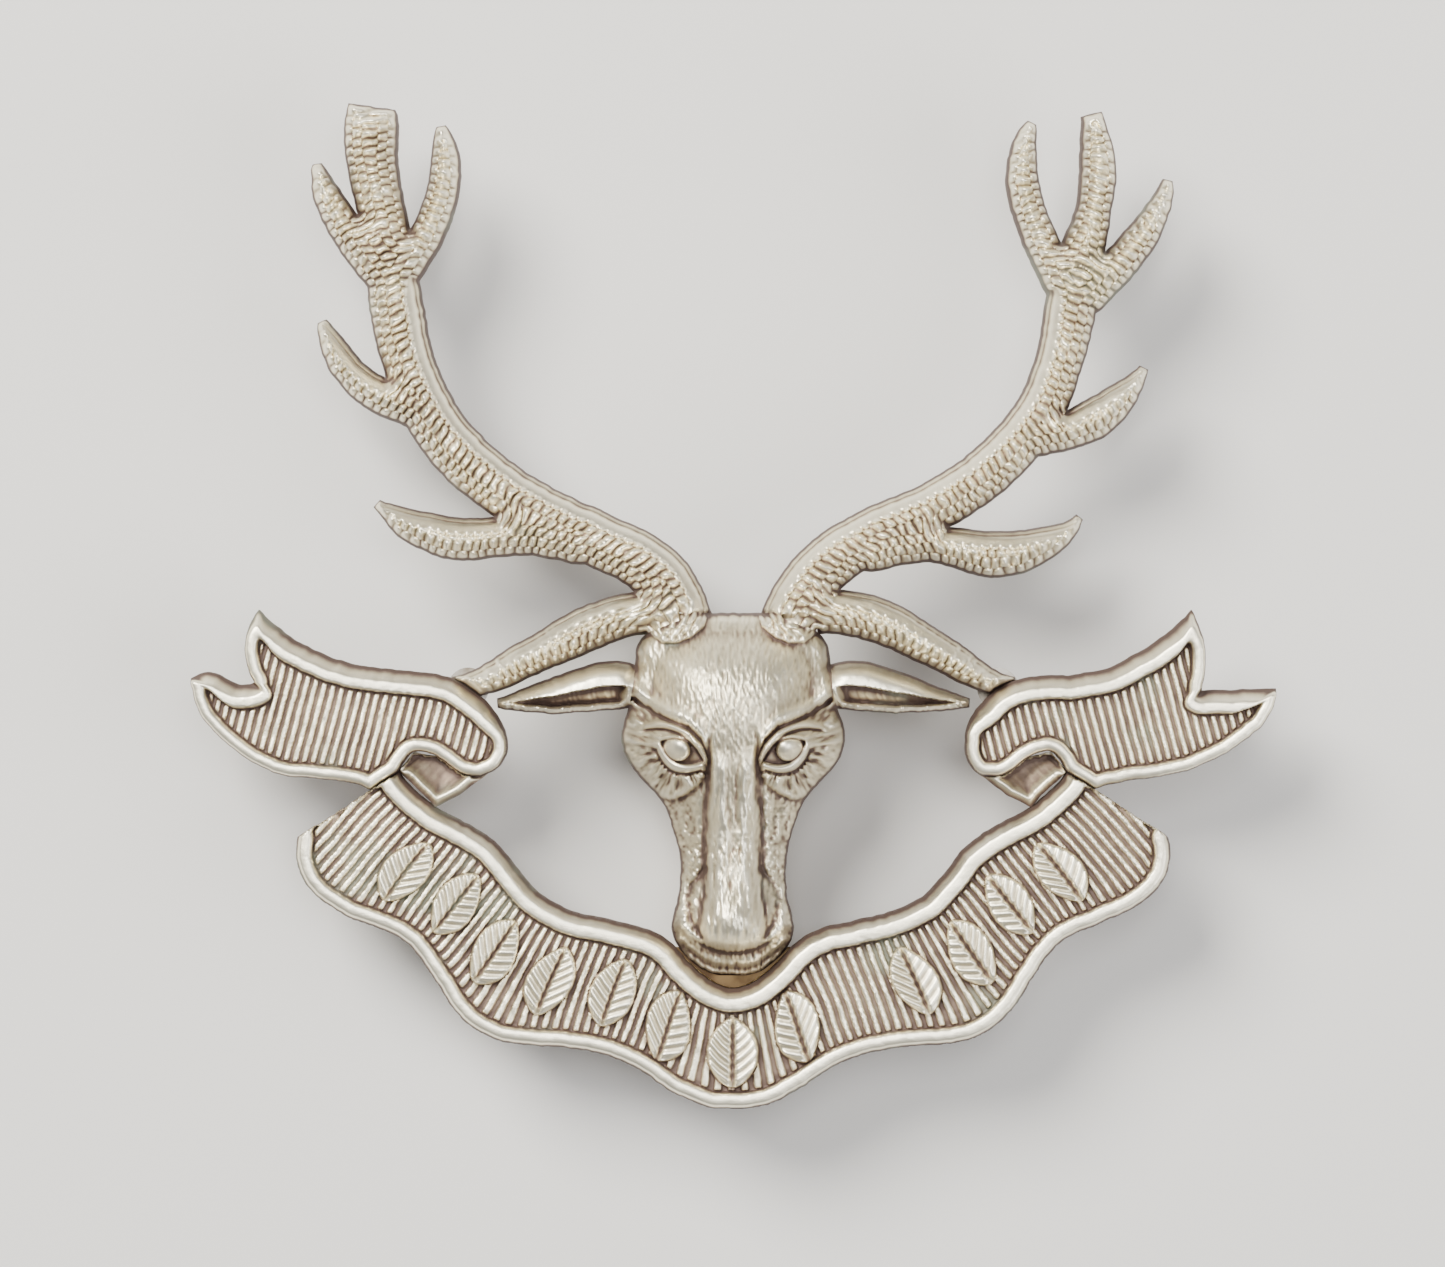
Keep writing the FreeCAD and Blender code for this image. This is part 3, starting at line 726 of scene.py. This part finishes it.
def relief_piece(node, made, spacing, hollow_cap, solid_near):
    """A struck piece: its relief in front, its edge walls, and a hollow behind that follows the front.
    The metal stays whole within a radius of each place in solid_near."""
    field, relief = made
    loop = OUTLINES[node]
    count = len(loop)
    front, front_faces = triangulate(loop, spacing, 0.45 * spacing)
    heights = relief(front)
    back, back_faces = triangulate(loop, BACK_STEP, 0.6 * BACK_STEP)
    own = field.read(field.depth(segments(loop)), back)
    plain = field.softened(relief(field.points), 10, field.inside)
    hollow = np.clip(field.read(plain, back) - METAL, 0, hollow_cap) * step(own, SHEET - 0.1, SHEET + 0.5)
    for spot, radius in solid_near:
        hollow *= step(np.linalg.norm(back - spot, axis=1), radius, radius + 0.5)
    hollow[:count] = 0

    top = np.column_stack([front, BACK + heights])
    low = np.column_stack([back, BACK + hollow])
    vertices = np.concatenate([top, low]) * MM
    shift = len(top)
    ring = np.arange(count)
    following = (ring + 1) % count
    wall = np.concatenate([np.column_stack([ring, ring + shift, following + shift]),
                           np.column_stack([ring, following + shift, following])])
    faces = np.concatenate([front_faces, back_faces[:, ::-1] + shift, wall])

    name = f"{node}_relief"
    mesh = bpy.data.meshes.new(name)
    mesh.from_pydata(vertices.tolist(), [], faces.tolist())
    mesh.polygons.foreach_set("use_smooth", np.ones(len(faces), dtype=bool))
    mesh.set_sharp_from_angle(angle=math.radians(55))
    store_wear_and_shade(mesh, front_faces, heights, len(vertices), WEAR_AND_SHADE_OF.get(node, 0.0))
    obj = bpy.data.objects.new(name, mesh)
    bpy.context.scene.collection.objects.link(obj)
    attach(obj, "badge")
    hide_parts(node)
    return obj


# How much more or less worn a whole piece is. The folds get a negative number, which is painted shade: it
# darkens their insides as if in shadow.
WEAR_AND_SHADE_OF = {"stag_head": 0.01, "left_antler": 0.08, "right_antler": 0.08, "scroll_band": 0.04,
           "left_scroll_tail": 0.05, "right_scroll_tail": 0.05, "left_scroll_fold": -0.08,
           "right_scroll_fold": -0.08}
FINE_ROUNDS, BROAD_ROUNDS = 25, 220      # of averaging, which set what counts as a small and a large hollow
FINE_DEPTH, BROAD_DEPTH = 0.24, 0.9      # the height that takes each from bare to dark
BACK_WEAR = 0.3                          # the unseen back


def mesh_average(values, edges, rounds):
    """Values averaged over a mesh's neighbours, round after round."""
    count = len(values)
    degree = np.bincount(edges.ravel(), minlength=count)
    for _ in range(rounds):
        total = np.bincount(edges[:, 0], values[edges[:, 1]], count)
        total += np.bincount(edges[:, 1], values[edges[:, 0]], count)
        values = 0.5 * values + 0.5 * total / np.maximum(degree, 1)
    return values


def store_wear_and_shade(mesh, faces, heights, total, tone):
    """Per-vertex numbers that the metal reads: "fine" and "broad" are 0.5 on the level, less in a hollow and
    more on a ridge. tone is added to both: it lifts a more worn piece, and on the scroll folds it is painted
    shade that darkens them."""
    pairs = np.concatenate([faces[:, [0, 1]], faces[:, [1, 2]], faces[:, [2, 0]]])
    edges = np.unique(np.sort(pairs, axis=1), axis=0)
    once = mesh_average(heights, edges, FINE_ROUNDS)
    twice = mesh_average(once, edges, BROAD_ROUNDS)
    for name, level in (("fine", (heights - once) / FINE_DEPTH), ("broad", (once - twice) / BROAD_DEPTH)):
        values = np.full(total, 0.5)
        values[:len(heights)] = np.clip(0.5 + level + tone, 0, 1)
        values[len(heights):] = BACK_WEAR
        mesh.attributes.new(name, "FLOAT", "POINT").data.foreach_set("value", values)


# ---------------------------------------------------------------- materials
class Nodes:
    """A short way to lay out a material's nodes."""

    def __init__(self, name):
        self.material = bpy.data.materials.new(name)
        self.material.use_nodes = True
        self.tree = self.material.node_tree
        self.tree.nodes.clear()
        self.shader = self.add("ShaderNodeBsdfPrincipled")
        output = self.add("ShaderNodeOutputMaterial")
        self.link(self.shader.outputs["BSDF"], output.inputs["Surface"])
        self.place = self.add("ShaderNodeTexCoord").outputs["Object"]

    def add(self, kind, **settings):
        node = self.tree.nodes.new(kind)
        for key, value in settings.items():
            setattr(node, key, value)
        return node

    def link(self, source, target):
        self.tree.links.new(source, target)

    def attribute(self, name):
        return self.add("ShaderNodeAttribute", attribute_name=name).outputs["Fac"]

    def noise(self, size, detail=4.0, stretch=(1, 1, 1), rough=0.55):
        """Noise with features of that size in metres."""
        mapping = self.add("ShaderNodeMapping")
        mapping.inputs["Scale"].default_value = stretch
        self.link(self.place, mapping.inputs["Vector"])
        node = self.add("ShaderNodeTexNoise")
        node.inputs["Scale"].default_value = 1 / size
        node.inputs["Detail"].default_value = detail
        node.inputs["Roughness"].default_value = rough
        self.link(mapping.outputs["Vector"], node.inputs["Vector"])
        return node.outputs["Fac"]

    def math(self, operation, a, b=None, clamp=False):
        node = self.add("ShaderNodeMath", operation=operation, use_clamp=clamp)
        for socket, value in zip(node.inputs, (a, b)):
            if value is None:
                continue
            if isinstance(value, (int, float)):
                socket.default_value = value
            else:
                self.link(value, socket)
        return node.outputs["Value"]

    def range(self, value, low, high, out_low=0.0, out_high=1.0):
        node = self.add("ShaderNodeMapRange", interpolation_type="SMOOTHSTEP")
        self.link(value, node.inputs["Value"])
        for key, number in (("From Min", low), ("From Max", high), ("To Min", out_low), ("To Max", out_high)):
            node.inputs[key].default_value = number
        return node.outputs["Result"]

    def ramp(self, value, stops):
        node = self.add("ShaderNodeValToRGB")
        elements = node.color_ramp.elements
        while len(elements) < len(stops):
            elements.new(0.5)
        for element, (position, colour) in zip(elements, stops):
            element.position = position
            element.color = (*colour, 1)
        self.link(value, node.inputs["Fac"])
        return node.outputs["Color"]

    def mix(self, factor, a, b):
        node = self.add("ShaderNodeMix", data_type="RGBA")
        self.link(factor, node.inputs["Factor"])
        for key, value in (("A", a), ("B", b)):
            socket = next(s for s in node.inputs if s.name == key and s.type == "RGBA")
            if isinstance(value, tuple):
                socket.default_value = (*value, 1)
            else:
                self.link(value, socket)
        return next(s for s in node.outputs if s.type == "RGBA")

    def bump(self, heights):
        """Chain of (height, distance in metres) bumps into the shader's normal."""
        normal = None
        for height, depth in heights:
            node = self.add("ShaderNodeBump")
            node.inputs["Distance"].default_value = depth
            self.link(height, node.inputs["Height"])
            if normal is not None:
                self.link(normal, node.inputs["Normal"])
            normal = node.outputs["Normal"]
        self.link(normal, self.shader.inputs["Normal"])


# Colours of the struck metal, from the darkest hollow to the barest ridge, by how worn it is.
METAL_TONES = ((0.20, (0.10, 0.066, 0.054)), (0.33, (0.27, 0.20, 0.15)), (0.44, (0.56, 0.49, 0.355)),
               (0.58, (0.79, 0.725, 0.545)), (0.80, (0.99, 0.935, 0.76)))
VERDIGRIS = (0.30, 0.36, 0.27)


def white_metal():
    """Struck nickel silver: bright on worn ridges, brown in the hollows, with mottled toning between."""
    n = Nodes("white_metal")
    fine, broad = n.attribute("fine"), n.attribute("broad")
    mottle, speckle = n.noise(0.0035, 6), n.noise(0.00035, 3)
    # bright on worn ridges and patina in the hollows; on the scroll folds it also carries painted shade from
    # their negative tone
    wear_and_shade = n.math("ADD", n.math("MULTIPLY", fine, 0.62), n.math("MULTIPLY", broad, 0.38))
    wear_and_shade = n.math("ADD", wear_and_shade, n.math("MULTIPLY", n.math("SUBTRACT", mottle, 0.5), 0.16))
    wear_and_shade = n.math("ADD", wear_and_shade, n.math("MULTIPLY", n.math("SUBTRACT", speckle, 0.5), 0.07), clamp=True)
    metal = n.ramp(wear_and_shade, METAL_TONES)
    green = n.math("MULTIPLY", n.range(n.noise(0.0055, 3), 0.56, 0.68), n.range(wear_and_shade, 0.55, 0.35))
    colour = n.mix(n.math("MULTIPLY", green, 0.35), metal, VERDIGRIS)
    n.link(colour, n.shader.inputs["Base Color"])
    n.link(n.range(wear_and_shade, 0.22, 0.42, 0.55, 1.0), n.shader.inputs["Metallic"])
    rough = n.math("ADD", n.range(wear_and_shade, 0.25, 0.75, 0.58, 0.42),
                   n.math("MULTIPLY", n.math("SUBTRACT", n.noise(0.0012, 5), 0.5), 0.14))
    n.link(rough, n.shader.inputs["Roughness"])
    scratches = n.noise(0.00022, 2, stretch=(0.12, 1, 1))
    n.bump(((n.noise(0.00018, 4), 0.000012), (scratches, 0.000006), (n.noise(0.0016, 4), 0.00003)))
    return n.material


def fitting_metal(name, colour, dark, rough, grain):
    """Plain worn metal of the fittings behind, with drawn or rolled grain."""
    n = Nodes(name)
    stain, tone = n.noise(0.0022, 6), n.noise(0.0006, 4)
    mixed = n.mix(n.range(stain, 0.42, 0.66), colour, dark)
    n.link(n.mix(n.math("MULTIPLY", tone, 0.35), mixed, tuple(min(1, 1.25 * c) for c in colour)),
           n.shader.inputs["Base Color"])
    n.shader.inputs["Metallic"].default_value = 1.0
    n.link(n.math("ADD", n.range(stain, 0.3, 0.7, rough, rough + 0.18), n.math("MULTIPLY", tone, 0.06)),
           n.shader.inputs["Roughness"])
    n.bump(((n.noise(0.00012, 3, stretch=grain), 0.000008), (n.noise(0.0007, 4), 0.00002)))
    return n.material


def floor_material():
    n = Nodes("floor")
    n.shader.inputs["Base Color"].default_value = (0.72, 0.71, 0.69, 1)
    n.shader.inputs["Roughness"].default_value = 0.75
    return n.material


# ---------------------------------------------------------------- the badge
def dress(obj, material):
    obj.data.materials.clear()
    obj.data.materials.append(material)


SOLDER_RADIUS = 1.8  # of whole metal round a tine's solder
HEAD_HOLLOW = 5.15   # depth of the hollow behind the face


def make_badge():
    metal = white_metal()
    spots = [((np.array(low) + np.array(high)) / 2 / MM)[:2] for low, high in map(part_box, SOLDER_SPOTS)]
    left, right = (((spot, SOLDER_RADIUS),) for spot in spots)
    # node, its relief, the spacing of its mesh points, the cap on its hollow, and where it stays whole
    plans = (("stag_head", head_relief(), 0.068, HEAD_HOLLOW, ()),
             ("left_antler", antler_relief(-1), 0.075, DEEP, left),
             ("right_antler", antler_relief(1), 0.075, DEEP, right),
             ("left_ear", ear_relief(-1), 0.07, DEEP, ()),
             ("right_ear", ear_relief(1), 0.07, DEEP, ()),
             ("scroll_band", band_relief(), 0.082, DEEP, ()),
             ("left_scroll_tail", tail_relief(-1), 0.075, DEEP, left),
             ("right_scroll_tail", tail_relief(1), 0.075, DEEP, right),
             ("left_scroll_fold", fold_relief(-1), 0.08, 0.0, ()),
             ("right_scroll_fold", fold_relief(1), 0.08, 0.0, ()))
    for plan in plans:
        dress(relief_piece(*plan), metal)


# Metals of the fittings: bare colour, stained colour, roughness, and the axis that the grain is drawn along.
LUG_BRASS = ((0.62, 0.46, 0.22), (0.28, 0.19, 0.10), 0.34, (1, 1, 0.1))
PIN_BRASS = ((0.70, 0.54, 0.27), (0.36, 0.25, 0.13), 0.28, (1, 0.1, 1))
PLATE_BRASS = ((0.66, 0.50, 0.25), (0.33, 0.23, 0.12), 0.3, (1, 0.06, 1))
SOLDER = ((0.40, 0.38, 0.35), (0.20, 0.16, 0.11), 0.45, (1, 1, 1))
# the muzzle seam's solder is a real part, but its near-black colour is painted shade of the gap under the
# muzzle
SEAM_SOLDER_IN_PAINTED_SHADE = ((0.17, 0.115, 0.06), (0.07, 0.042, 0.025), 0.6, (1, 1, 1))


def dress_fittings():
    lug = fitting_metal("lug_brass", *LUG_BRASS)
    pin = fitting_metal("pin_brass", *PIN_BRASS)
    plate = fitting_metal("plate_brass", *PLATE_BRASS)
    solder = fitting_metal("solder", *SOLDER)
    # painted shade: the solder in the gap under the muzzle is coloured near black
    seam_in_painted_shade = fitting_metal("seam_solder_painted_shade", *SEAM_SOLDER_IN_PAINTED_SHADE)
    materials = {"upper_lug": lug, "lower_lug": lug, "split_pin": pin, "backing_plate": plate,
                 "upper_lug_solder": solder, "lower_lug_solder": solder, "left_tine_solder": solder,
                 "right_tine_solder": solder, "muzzle_solder": seam_in_painted_shade}
    for node, material in materials.items():
        dress(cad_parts[node], material)


# ---------------------------------------------------------------- stage
FLOOR_RADIUS = 0.72
FLOOR_SIDES = 96
CAMERA_DISTANCE = 0.42   # from the face
VIEW_WIDTH = 1.314       # width of the picture over the badge's


def make_floor():
    turns = [2 * math.pi * k / FLOOR_SIDES for k in range(FLOOR_SIDES)]
    rim = [(FLOOR_RADIUS * math.cos(turn), FLOOR_RADIUS * math.sin(turn), 0) for turn in turns]
    mesh = bpy.data.meshes.new("floor")
    mesh.from_pydata(rim, [], [tuple(range(FLOOR_SIDES))])
    floor = bpy.data.objects.new("floor", mesh)
    floor.location.z = PACKED_BOUNDS[0].z - 0.00005
    bpy.context.scene.collection.objects.link(floor)
    mesh.materials.append(floor_material())


def make_light(name, place, size, power, colour=(1, 1, 1)):
    light = bpy.data.lights.new(name, "AREA")
    light.shape = "DISK"
    light.size, light.energy, light.color = size, power, colour
    obj = bpy.data.objects.new(name, light)
    obj.location = place
    obj.rotation_euler = (-Vector(place)).to_track_quat("-Z", "Y").to_euler()
    bpy.context.scene.collection.objects.link(obj)


def make_lights():
    make_light("key", (-0.30, 0.34, 0.52), 0.36, 10.0, (1.0, 0.97, 0.90))
    make_light("fill", (0.48, -0.18, 0.42), 0.5, 2.8, (0.98, 0.98, 1.0))
    make_light("top", (0.05, 0.10, 0.75), 0.3, 2.6)
    world = bpy.data.worlds.new("studio")
    bpy.context.scene.world = world
    world.use_nodes = True
    world.node_tree.nodes["Background"].inputs["Color"].default_value = (0.86, 0.85, 0.83, 1)
    world.node_tree.nodes["Background"].inputs["Strength"].default_value = 0.32


def make_camera():
    """Straight above the face, with the badge a little above the middle of the picture."""
    low, high = PACKED_BOUNDS
    width = high.x - low.x
    camera = bpy.data.cameras.new("camera")
    camera.sensor_width = 36
    camera.lens = camera.sensor_width * CAMERA_DISTANCE / (VIEW_WIDTH * width)
    obj = bpy.data.objects.new("camera", camera)
    middle = Vector(((low.x + high.x) / 2 - 0.0097 * width, (low.y + high.y) / 2 - 0.0254 * width, high.z))
    obj.location = middle + Vector((0, 0, CAMERA_DISTANCE))
    bpy.context.scene.collection.objects.link(obj)
    bpy.context.scene.camera = obj


make_badge()
dress_fittings()
make_floor()
make_lights()
make_camera()
